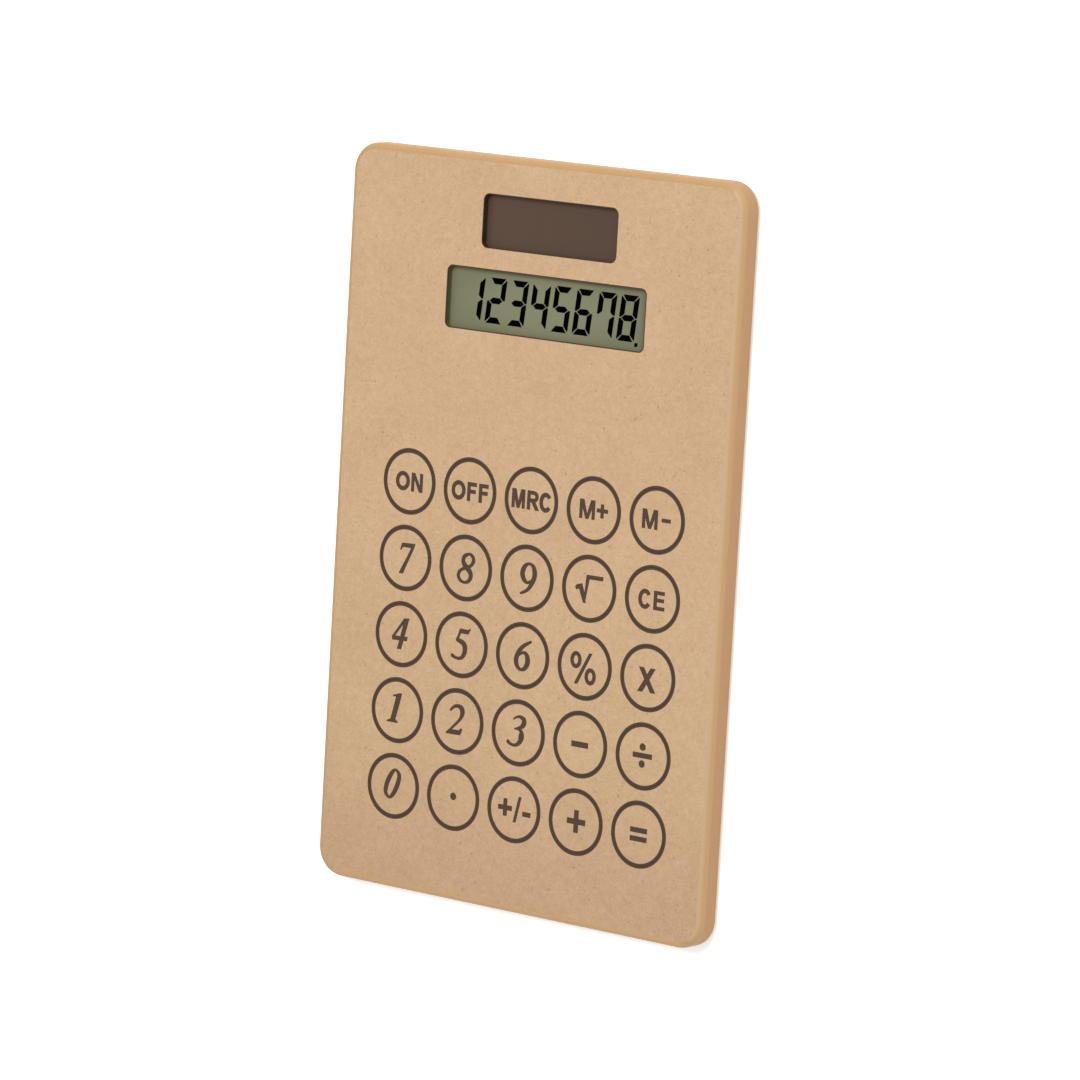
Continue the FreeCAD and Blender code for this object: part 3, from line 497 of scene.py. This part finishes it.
def stroke(pts, closed=False, caps=(False, False), smooth=True):
    """Polygons of a line whose width changes along it. Each point is x, y, width."""
    line = curve(pts, closed) if smooth else [list(p) for p in pts]
    m = len(line)
    left, right = [], []
    for i, (x, y, w) in enumerate(line):
        a = line[(i - 1) % m] if closed or i else line[i]
        b = line[(i + 1) % m] if closed or i < m - 1 else line[i]
        dx, dy = b[0] - a[0], b[1] - a[1]
        l = math.hypot(dx, dy) or 1.0
        nx, ny = -dy / l * w / 2, dx / l * w / 2
        left.append((x + nx, y + ny))
        right.append((x - nx, y - ny))
    polys = []
    for i in range(m if closed else m - 1):
        j = (i + 1) % m
        polys.append(hull([left[i], left[j], right[j], right[i]]))
    for end, on in ((0, caps[0]), (-1, caps[1])):
        if on:
            x, y, w = line[end]
            polys.append([(x + w / 2 * math.cos(k * math.pi / 10), y + w / 2 * math.sin(k * math.pi / 10)) for k in range(20)])
    return polys


def soft(pts):
    """A polygon in which points with a third value are passed smoothly, and the others are corners."""
    out = []
    m = len(pts)
    for i in range(m):
        p0, p1, p2, p3 = (pts[(i + j) % m] for j in (-1, 0, 1, 2))
        if len(p1) == 2 and len(p2) == 2:
            out.append(p1[:2])
            continue
        a = p0[:2] if len(p1) > 2 else p1[:2]
        d = p3[:2] if len(p2) > 2 else p2[:2]
        for s in range(6):
            out.append(tuple(catmull(a, p1[:2], p2[:2], d, s / 6)))
    return [out]


def rect(x0, y0, x1, y1):
    return [[(x0, y0), (x1, y0), (x1, y1), (x0, y1)]]


def poly(*pts):
    return [list(pts)]


def disc(x, y, r, n=40):
    return [[(x + r * math.cos(2 * math.pi * k / n), y + r * math.sin(2 * math.pi * k / n)) for k in range(n)]]


def oval(x, y, rx, ry, w, a0=0.0, a1=360.0):
    """An upright oval line, whole or open between two angles."""
    whole = a1 - a0 >= 360.0
    n = 56
    pts = []
    for k in range(n if whole else n + 1):
        a = math.radians(a0 + (a1 - a0) * k / n)
        pts.append((x + (rx - w / 2) * math.cos(a), y + (ry - w / 2) * math.sin(a), w))
    return stroke(pts, whole, smooth=False)


def letter_m(x0, x1, y0, y1, w):
    c = (x0 + x1) / 2
    return (
        rect(x0, y0, x0 + w, y1)
        + rect(x1 - w, y0, x1, y1)
        + poly((x0, y0), (x0 + 1.42 * w, y0), (c + 0.46 * w, y1), (c - 0.46 * w, y1))
        + poly((x1, y0), (x1 - 1.42 * w, y0), (c - 0.46 * w, y1), (c + 0.46 * w, y1))
    )


LEGEND = {
    "key_7": (50.0, soft([(150, 48), (335, 43), (318, 100, 1), (300, 135, 1), (262, 215, 1), (215, 312, 1), (180, 396), (118, 396), (160, 320, 1), (205, 240, 1), (245, 165, 1), (283, 92), (176, 92), (152, 102, 1), (140, 128), (122, 128), (135, 85, 1)])),
    "key_8": (50.0, stroke([(240, 48, 31), (185, 75, 47), (163, 125, 52), (185, 175, 61), (235, 215, 66), (275, 260, 61), (280, 310, 54), (250, 355, 42), (195, 374, 31), (135, 355, 40), (105, 310, 45), (115, 265, 42), (155, 228, 36), (215, 205, 40), (275, 175, 40), (308, 130, 46), (305, 85, 46), (275, 55, 38)], True)),
    "key_9": (50.0, stroke([(255, 235, 30), (215, 255, 34), (165, 225, 56), (138, 160, 64), (155, 95, 58), (190, 55, 42), (235, 40, 30), (285, 65, 48), (308, 120, 62), (308, 180, 62), (280, 250, 58), (235, 320, 44), (180, 360, 34), (130, 382, 26)], False, (True, True))),
    "key_4": (50.0, poly((238, 32), (270, 50), (112, 250), (78, 285), (74, 255)) + poly((76, 243), (190, 243), (300, 238), (292, 285), (80, 292)) + soft([(245, 32), (314, 25), (300, 70, 1), (262, 215, 1), (215, 388), (155, 388), (178, 310, 1), (205, 200, 1), (228, 105, 1)])),
    "key_5": (50.0, soft([(182, 28), (210, 28), (290, 30, 1), (322, 12), (330, 18), (312, 55, 1), (300, 78), (200, 78), (172, 70)]) + stroke([(190, 40, 32), (165, 110, 30), (140, 160, 28)], False, (False, True)) + stroke([(140, 160, 38), (190, 170, 51), (240, 195, 61), (262, 240, 64), (255, 300, 57), (225, 350, 43), (175, 368, 33), (125, 362, 32), (85, 345, 42)], False, (False, True))),
    "key_6": (50.0, stroke([(315, 38, 30), (265, 65, 38), (205, 105, 46), (150, 170, 54), (122, 250, 62), (130, 310, 58), (160, 350, 44), (195, 365, 34), (240, 350, 48), (275, 305, 62), (285, 255, 66), (270, 200, 56), (235, 170, 38), (190, 180, 30), (160, 205, 24)], False, (True, True))),
    "key_1": (50.0, soft([(145, 48), (185, 38, 1), (230, 22, 1), (272, 18), (262, 60, 1), (240, 150, 1), (215, 240, 1), (192, 325), (222, 345, 1), (228, 362), (68, 362), (75, 348), (122, 325), (145, 240, 1), (168, 150, 1), (188, 68), (182, 60), (145, 62)])),
    "key_2": (50.0, soft([(100, 90), (120, 65, 1), (160, 30, 1), (215, 16, 1), (265, 22, 1), (300, 50, 1), (312, 95, 1), (300, 140, 1), (265, 190, 1), (215, 240, 1), (160, 290, 1), (132, 311), (250, 311), (268, 286), (290, 292), (278, 330, 1), (262, 358), (62, 362), (68, 345), (110, 310, 1), (165, 255, 1), (215, 205, 1), (243, 165, 1), (255, 120, 1), (250, 80, 1), (230, 58, 1), (200, 52, 1), (165, 62, 1), (135, 85, 1), (115, 102)])),
    "key_3": (50.0, stroke([(145, 55, 18), (180, 32, 22), (230, 22, 34), (285, 48, 56), (288, 95, 62), (255, 135, 45), (205, 155, 25), (165, 165, 14)], False, (True, True)) + stroke([(165, 165, 16), (215, 165, 24), (258, 190, 45), (262, 240, 75), (250, 295, 58), (205, 340, 40), (150, 352, 30), (105, 340, 34), (78, 322, 42)], False, (True, True))),
    "key_0": (35.0, stroke([(238, 82, 20), (205, 105, 34), (172, 160, 42), (150, 220, 42), (146, 275, 36), (180, 310, 22), (215, 290, 34), (250, 230, 42), (272, 165, 42), (274, 115, 36)], True)),
    "key_on": (35.0, oval(135, 216, 70, 76, 32) + rect(223, 142, 252, 290) + rect(308, 142, 337, 290) + poly((223, 142), (256, 142), (337, 290), (304, 290))),
    "key_off": (35.0, oval(89, 216, 69, 76, 32) + rect(178, 142, 208, 290) + rect(178, 142, 268, 171) + rect(178, 200, 260, 228) + rect(294, 142, 325, 290) + rect(294, 142, 386, 171) + rect(294, 200, 380, 228)),
    "key_mrc": (35.0, letter_m(12, 140, 132, 280, 28) + rect(163, 132, 193, 280) + stroke([(175, 146, 28), (205, 146, 28), (230, 147, 28), (252, 157, 29), (257, 176, 30), (250, 196, 29), (230, 205, 28), (205, 206, 28), (175, 206, 28)]) + poly((200, 212), (236, 205), (282, 280), (246, 280)) + oval(345, 207, 60, 77, 32, 38, 322)),
    "key_m_plus": (35.0, letter_m(67, 215, 131, 280, 28) + rect(235, 188, 341, 216) + rect(272, 152, 301, 258)),
    "key_m_minus": (35.0, letter_m(62, 208, 131, 280, 28) + rect(248, 188, 332, 215)),
    "key_square_root": (38.18, poly((180, 92), (350, 92), (347, 125), (200, 125), (176, 125)) + poly((172, 95), (205, 95), (205, 120), (168, 330), (155, 330), (155, 290)) + poly((92, 202), (130, 176), (156, 240), (176, 332), (150, 332)) + poly((58, 207), (73, 187), (127, 171), (132, 184), (112, 209), (72, 229))),
    "key_ce": (38.18, oval(127, 212, 67, 84, 34, 35, 325) + rect(220, 132, 253, 292) + rect(220, 132, 330, 161) + rect(220, 194, 325, 223) + rect(220, 263, 334, 292)),
    "key_percent": (38.18, oval(114, 158, 58, 72, 33) + oval(274, 284, 58, 72, 33) + poly((250, 88), (283, 88), (141, 360), (107, 360))),
    "key_multiply": (38.18, poly((113, 122), (165, 122), (295, 328), (243, 328)) + poly((285, 122), (235, 122), (108, 328), (160, 328))),
    "key_minus": (38.18, rect(122, 183, 300, 231)),
    "key_divide": (38.18, rect(106, 179, 307, 222) + disc(205, 127, 31) + disc(205, 272, 31)),
    "key_decimal_point": (38.18, disc(222, 198, 32)),
    "key_sign_change": (38.18, rect(50, 180, 200, 222) + rect(105, 122, 147, 273) + poly((268, 88), (298, 88), (246, 315), (216, 315)) + rect(316, 209, 404, 250)),
    "key_plus": (38.18, rect(129, 178, 324, 226) + rect(202, 104, 250, 298)),
    "key_equals": (38.18, rect(133, 148, 309, 191) + rect(133, 223, 309, 266)),
}


def area(p):
    return 0.5 * sum(p[i][0] * p[(i + 1) % len(p)][1] - p[(i + 1) % len(p)][0] * p[i][1] for i in range(len(p)))


def union(polys):
    """Triangles that cover all the polygons once: points and index triples."""
    verts, faces = [], []
    for p in polys:
        if len(p) < 3 or abs(area(p)) < 1e-7:
            continue
        if area(p) < 0:
            p = p[::-1]
        faces.append(list(range(len(verts), len(verts) + len(p))))
        verts += [Vector(q) for q in p]
    v, e, f, ov, oe, of_ = delaunay_2d_cdt(verts, [], faces, 0, 1e-5)
    tris = [list(t) for t, o in zip(f, of_) if o]
    return [(q[0], q[1]) for q in v], tris


def border(tris):
    """The closed outlines of a set of triangles, as lists of point numbers."""
    edges = {(t[i], t[(i + 1) % 3]) for t in tris for i in range(3)}
    after = {}
    for a, b in sorted(edges):
        if (b, a) not in edges:
            after.setdefault(a, []).append(b)
    loops = []
    while after:
        loop = [min(after)]
        while True:
            here = after[loop[-1]]
            b = here.pop()
            if not here:
                del after[loop[-1]]
            if b == loop[0]:
                break
            loop.append(b)
        loops.append(loop)
    return loops


def thin(line, tol):
    """Keeps the points of an open line that it needs to stay within tol."""
    if len(line) < 3:
        return line
    (ax, ay), (bx, by) = line[0], line[-1]
    l = math.hypot(bx - ax, by - ay)
    far, at = -1.0, 0
    for i in range(1, len(line) - 1):
        x, y = line[i]
        d = abs((bx - ax) * (y - ay) - (by - ay) * (x - ax)) / l if l > 1e-9 else math.hypot(x - ax, y - ay)
        if d > far:
            far, at = d, i
    if far <= tol:
        return [line[0], line[-1]]
    return thin(line[: at + 1], tol)[:-1] + thin(line[at:], tol)


def spread(loop, d):
    """Moves a closed outline outwards by d, as ink spreads into paper."""
    out = []
    m = len(loop)
    for i in range(m):
        (ax, ay), (x, y), (bx, by) = loop[i - 1], loop[i], loop[(i + 1) % m]
        la, lb = math.hypot(x - ax, y - ay) or 1.0, math.hypot(bx - x, by - y) or 1.0
        sx = (y - ay) / la + (by - y) / lb
        sy = -(x - ax) / la - (bx - x) / lb
        n = math.hypot(sx, sy)
        if n < 1e-6:
            out.append((x, y))
            continue
        k = d / max(0.55, n / 2) / n
        out.append((x + sx * k, y + sy * k))
    return out


def turns(loops, x, y):
    """How many times the outlines go round a point."""
    w = 0
    for loop in loops:
        for i in range(len(loop)):
            (ax, ay), (bx, by) = loop[i - 1], loop[i]
            if (ay <= y) != (by <= y):
                side = (bx - ax) * (y - ay) - (by - ay) * (x - ax)
                if by > ay and side > 0:
                    w += 1
                elif by < ay and side < 0:
                    w -= 1
    return w


def printed(polys, d):
    """Triangles inside the joined outline of the polygons, spread by d."""
    pts, tris = union(polys)
    loops = []
    for loop in border(tris):
        line = [pts[i] for i in loop]
        if abs(area(line)) < 0.006:
            continue
        half = max(range(len(line)), key=lambda i: math.hypot(line[i][0] - line[0][0], line[i][1] - line[0][1]))
        line = thin(line[: half + 1], 0.003)[:-1] + thin(line[half:] + line[:1], 0.003)[:-1]
        loops.append(spread(line, d))
    verts, edges = [], []
    for loop in loops:
        n = len(verts)
        verts += [Vector(q) for q in loop]
        edges += [(n + i, n + (i + 1) % len(loop)) for i in range(len(loop))]
    v, e, f, ov, oe, of_ = delaunay_2d_cdt(verts, edges, [], 0, 1e-5)
    v = [(q[0], q[1]) for q in v]
    keep = []
    for t in f:
        x, y = (sum(v[i][a] for i in t) / 3 for a in (0, 1))
        if turns(loops, x, y) > 0:
            keep.append(list(t))
    return v, keep


def prism(bm, pts, tris, z0, z1):
    """A thin closed solid on a flat region, in millimetres, added to bm."""
    used = sorted({i for t in tris for i in t})
    lo = {i: bm.verts.new((pts[i][0] * MM, pts[i][1] * MM, z0 * MM)) for i in used}
    hi = {i: bm.verts.new((pts[i][0] * MM, pts[i][1] * MM, z1 * MM)) for i in used}
    edges = {}
    for t in tris:
        bm.faces.new([hi[i] for i in t])
        bm.faces.new([lo[i] for i in reversed(t)])
        for i in range(3):
            k = (t[i], t[(i + 1) % 3])
            edges[k] = edges.get(k, 0) + 1
    for a, b in edges:
        if (b, a) not in edges:
            bm.faces.new([lo[a], lo[b], hi[b], hi[a]])


def revolve(bm, cx, cy, profile, n=112):
    """A closed ring: the profile, as radius and height in millimetres, turned about a key's axis."""
    rows = []
    for r, z in profile:
        rows.append([bm.verts.new(((cx + r * math.cos(2 * math.pi * k / n)) * MM, (cy + r * math.sin(2 * math.pi * k / n)) * MM, z * MM)) for k in range(n)])
    for i in range(len(rows)):
        a, b = rows[i], rows[(i + 1) % len(rows)]
        for k in range(n):
            bm.faces.new([a[k], b[k], b[(k + 1) % n], a[(k + 1) % n]])


def finish_mesh(bm, name, mat, body, smooth=False):
    bmesh.ops.recalc_face_normals(bm, faces=bm.faces)
    me = bpy.data.meshes.new(name)
    bm.to_mesh(me)
    bm.free()
    me.materials.append(mat)
    if smooth:
        for p in me.polygons:
            p.use_smooth = True
    o = bpy.data.objects.new(name, me)
    bpy.context.scene.collection.objects.link(o)
    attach(o, body)
    return o


# --------------------------------------------------------------------------
# printed rings and legends
# --------------------------------------------------------------------------
outer = bmesh.new()
for r, row in enumerate(KEYS):
    for c, key in enumerate(row):
        cx, cy = COLS[c], ROWS[r]
        # the ink runs a little way down both walls of the gap
        lo_z, hi_z, deep = FACE_Z - 0.004, FACE_Z + INK, FACE_Z - 0.95
        revolve(outer, cx, cy, [(RING_OUT, lo_z), (RING_OUT, hi_z), (HOLE_R - 0.018, hi_z), (HOLE_R - 0.018, deep), (HOLE_R + 0.004, deep), (HOLE_R + 0.004, lo_z)])
        bm = bmesh.new()
        revolve(bm, cx, cy, [(RING_IN, lo_z), (RING_IN, hi_z), (CAP_R + 0.018, hi_z), (CAP_R + 0.018, deep), (CAP_R - 0.004, deep), (CAP_R - 0.004, lo_z)])
        s, polys = LEGEND[key]
        placed = [[(cx + SHIFT_X[r] + (x - 210.0) / s, cy + SHIFT_Y[c] - (y - 210.0) / s) for x, y in p] for p in polys]
        prism(bm, *printed(placed, SPREAD.get(key, 0.025)), FACE_Z - 0.004, FACE_Z + INK)
        finish_mesh(bm, "legend_" + key[4:], INKM, key + "_press")
finish_mesh(outer, "printed_rings", INKM, "case")


# --------------------------------------------------------------------------
# display segments
# --------------------------------------------------------------------------
SEG_A, SEG_H, SEG_T, SEG_G = 2.48, 5.13, 1.38, 0.085
SHEAR = 0.105


def segment(name):
    a, h, t, g = SEG_A, SEG_H, SEG_T, SEG_G
    d = g * 1.5
    q = t / 2
    if name == "A":
        return [(-a + 0.25 + d, h), (a - 0.25 - d, h), (a - t + 0.05 - d, h - t), (-a + t - 0.05 + d, h - t)]
    if name == "D":
        return [(x, -y) for x, y in segment("A")]
    if name == "G":
        return [(-a + 0.55 + d, 0), (-a + t + d, q), (a - t - d, q), (a - 0.55 - d, 0), (a - t - d, -q), (-a + t + d, -q)]
    if name == "F":
        return [(-a, h - 0.45), (-a + 0.14, h - 0.25 - d * 0.6), (-a + t, h - t - d), (-a + t, q + d), (-a + 0.45, g), (-a, g + 0.1)]
    if name == "B":
        return [(-x, y) for x, y in segment("F")]
    if name == "E":
        return [(x, -y) for x, y in segment("F")]
    return [(-x, -y) for x, y in segment("F")]


SHOWN = ["BC", "ABGED", "ABGCD", "FGBC", "AFGCD", "AFGECD", "FABC", "ABCDEFG"]
bm = bmesh.new()
FILM_Z = 4.55
for k, segs in enumerate(SHOWN):
    cx = 24.22 - (7 - k) * 6.16
    for s in segs:
        p = [(cx + x + SHEAR * y, 52.1 + y) for x, y in segment(s)]
        pts, tris = union([p])
        prism(bm, pts, tris, FILM_Z - 0.004, FILM_Z + 0.012)
p = [(26.81 + sx * 0.43 + 0.06 * sy, 46.47 + sy * 0.43) for sx, sy in ((-1, -1), (1, -1), (1, 1), (-1, 1))]
prism(bm, *union([p]), FILM_Z - 0.004, FILM_Z + 0.012)
finish_mesh(bm, "display_digits", SEGM, "case")


# --------------------------------------------------------------------------
# painted shade: dark sheets that line the walls and cut edges of the two windows, standing in for their shade
# --------------------------------------------------------------------------
def round_outline(cx, cy, w, h, r, n=14):
    out = []
    for k, (sx, sy) in enumerate(((1, 1), (-1, 1), (-1, -1), (1, -1))):
        for i in range(n + 1):
            a = math.pi / 2 * (k + i / n)
            out.append((cx + sx * (w / 2 - r) + r * math.cos(a), cy + sy * (h / 2 - r) + r * math.sin(a)))
    return out


def liner(name, cx, cy, w, h, r, z0, z1, t, mat):
    bm = bmesh.new()
    a = round_outline(cx, cy, w - 0.006, h - 0.006, r)
    b = round_outline(cx, cy, w - 2 * t, h - 2 * t, r - t)
    rows = []
    for pts, z in ((a, z0), (b, z0), (b, z1), (a, z1)):
        rows.append([bm.verts.new((x * MM, y * MM, z * MM)) for x, y in pts])
    n = len(a)
    for i in range(4):
        p, q = rows[i], rows[(i + 1) % 4]
        for k in range(n):
            bm.faces.new([p[k], q[k], q[(k + 1) % n], p[(k + 1) % n]])
    return finish_mesh(bm, name, mat, "case")


liner("solar_window_wall", 2.25, 69.9, 37.8, 12.3, 1.65, 4.46, 5.795, 0.1, SOLAR_WALL_SHADE)
liner("solar_window_rim", 2.25, 69.9, 37.8, 12.3, 1.65, 5.80, 5.995, 0.22, RIM_SHADE)
liner("display_window_wall", 2.1, 52.1, 56.0, 14.2, 1.5, 4.56, 5.765, 0.1, DISPLAY_WALL_SHADE)
liner("display_window_rim", 2.1, 52.1, 56.0, 14.2, 1.5, 5.77, 5.995, 0.28, RIM_SHADE)


# --------------------------------------------------------------------------
# rubber keypad: a mat and a dome under each key, all fixed to the case
# --------------------------------------------------------------------------
lo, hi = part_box("rubber_keypad")
bm = bmesh.new()
cx, cy = (lo.x + hi.x) / 2 / MM, (lo.y + hi.y) / 2 / MM
w, h = (hi.x - lo.x) / MM, (hi.y - lo.y) / MM
outline = round_outline(cx, cy, w, h, 3.0, 8)
pts, tris = union([outline])
prism(bm, pts, tris, 2.5, 2.9)
mat_obj = finish_mesh(bm, "keypad_mat", SILICONE, "case")
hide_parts("rubber_keypad")
PROFILE = [(4.6, 2.905), (4.55, 3.02), (4.3, 3.1), (3.75, 3.22), (3.2, 3.42), (2.85, 3.62), (2.6, 3.72), (2.58, 3.9), (2.45, 3.98), (2.2, 4.0), (1.2, 4.0)]
for r, row in enumerate(KEYS):
    for c, key in enumerate(row):
        bm = bmesh.new()
        n = 40
        rings = [[bm.verts.new(((COLS[c] + rr * math.cos(2 * math.pi * k / n)) * MM, (ROWS[r] + rr * math.sin(2 * math.pi * k / n)) * MM, z * MM)) for k in range(n)] for rr, z in PROFILE]
        for a, b in zip(rings, rings[1:]):
            for k in range(n):
                bm.faces.new([a[k], a[(k + 1) % n], b[(k + 1) % n], b[k]])
        bm.faces.new(rings[-1])
        bm.faces.new(list(reversed(rings[0])))
        dome = finish_mesh(bm, "keypad_dome_" + key[4:], SILICONE, "case", True)
        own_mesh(dome)


# --------------------------------------------------------------------------
# floor, light and camera
# --------------------------------------------------------------------------
bm = bmesh.new()
bmesh.ops.create_grid(bm, x_segments=8, y_segments=8, size=4.0)
me = bpy.data.meshes.new("floor")
bm.to_mesh(me)
bm.free()
floor = bpy.data.objects.new("floor", me)
floor.location = (0, 0, -0.00003)
bpy.context.scene.collection.objects.link(floor)
k = Mat("floor_paper")
n = k.noise(0.004, 3.0, 0.5)
k.set(color=k.mix(n, (0.93, 0.93, 0.93, 1), (0.95, 0.95, 0.95, 1)), rough=k.remap(n, 0.3, 0.7, 0.85, 0.92), spec=0.1)
k.p.inputs["Emission Color"].default_value = (1.0, 1.0, 1.0, 1.0)
k.p.inputs["Emission Strength"].default_value = 0.36
me.materials.append(k.m)

world = bpy.data.worlds.new("studio")
bpy.context.scene.world = world
world.use_nodes = True
bg = world.node_tree.nodes["Background"]
bg.inputs["Color"].default_value = (1.0, 1.0, 1.0, 1.0)
bg.inputs["Strength"].default_value = 0.62


def area_light(name, loc, target, size, power):
    d = bpy.data.lights.new(name, "AREA")
    d.shape = "DISK"
    d.size = size
    d.energy = power
    o = bpy.data.objects.new(name, d)
    o.location = loc
    o.rotation_euler = (Vector(target) - Vector(loc)).to_track_quat("-Z", "Y").to_euler()
    bpy.context.scene.collection.objects.link(o)
    return o


area_light("key_light", (0.02, 0.62, 1.25), (0, 0.02, 0), 0.75, 14.5)
area_light("fill_light", (0.95, 0.05, 0.95), (0, 0, 0), 0.7, 0.7)

scene = bpy.context.scene
scene.view_settings.view_transform = "Standard"
scene.view_settings.look = "None"
scene.view_settings.exposure = 0.0
scene.view_settings.gamma = 1.0

right = Vector((0.787228, 0.056305, -0.614086))
up = Vector((-0.127755, 0.989109, -0.073084))
back = Vector((0.603284, 0.135986, 0.785848))
cam = bpy.data.cameras.new("camera")
cam.lens = 191.279
cam.sensor_width = 36.0
cam.clip_start = 0.01
cam.clip_end = 50.0
cam.dof.use_dof = False
cam_obj = bpy.data.objects.new("camera", cam)
cam_obj.matrix_world = Matrix(
    (
        (right.x, up.x, back.x, 0.774160),
        (right.y, up.y, back.y, 0.174001),
        (right.z, up.z, back.z, 1.008507),
        (0, 0, 0, 1),
    )
)
scene.collection.objects.link(cam_obj)
scene.camera = cam_obj
